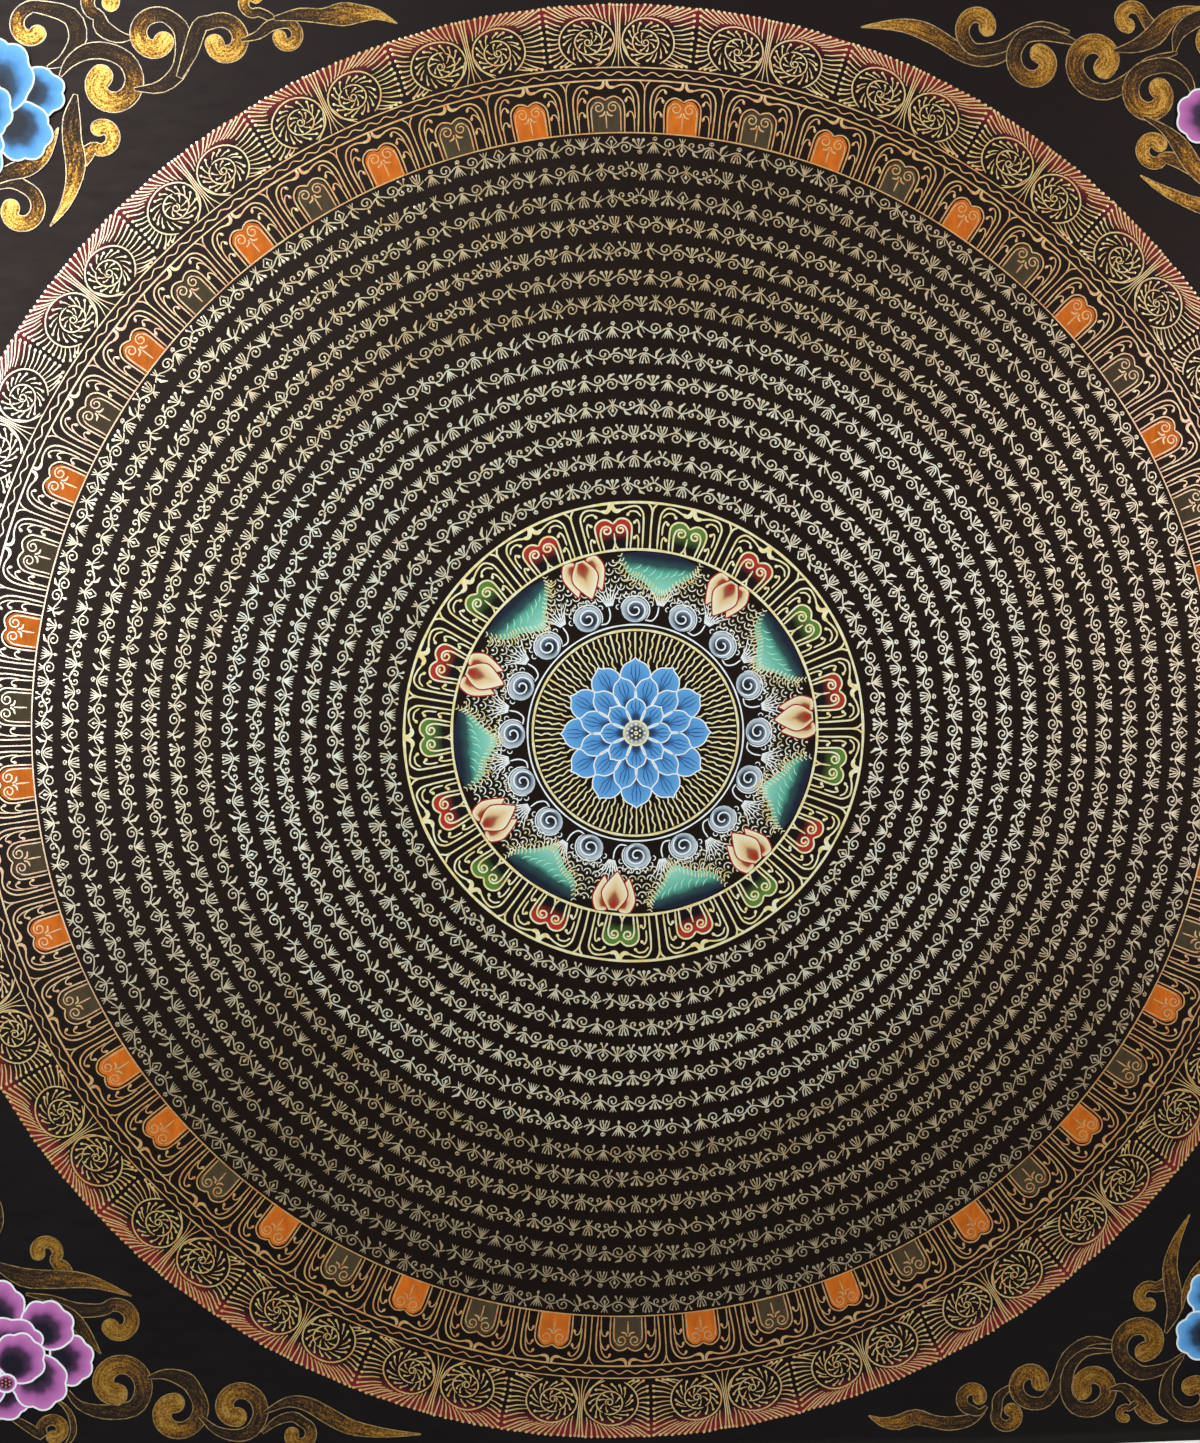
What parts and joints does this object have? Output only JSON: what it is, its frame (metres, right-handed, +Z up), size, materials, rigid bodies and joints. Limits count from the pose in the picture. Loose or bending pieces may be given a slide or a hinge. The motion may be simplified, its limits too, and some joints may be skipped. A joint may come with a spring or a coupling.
{
  "type": "unmounted thangka painting on cotton canvas",
  "caption": "Square painted cotton canvas that hangs by its top edge, dark ground with gold line rings, thin and gently waved.",
  "frame": {"origin": "middle of the top edge, halfway through the cloth", "axes": "+X to the right as seen from the painted front, +Y out of the back towards the wall, +Z up"},
  "size_m": [0.511, 0.0044, 0.5105],
  "materials": {
    "canvas": "primed cotton, painted matt near-black",
    "gold_paint": "thin raised gold paint strokes, satin",
    "colour_paint": "flat opaque mineral colours in small fields"
  },
  "bodies": {
    "root": {"canvas": "canvas"}
  },
  "joints": []
}
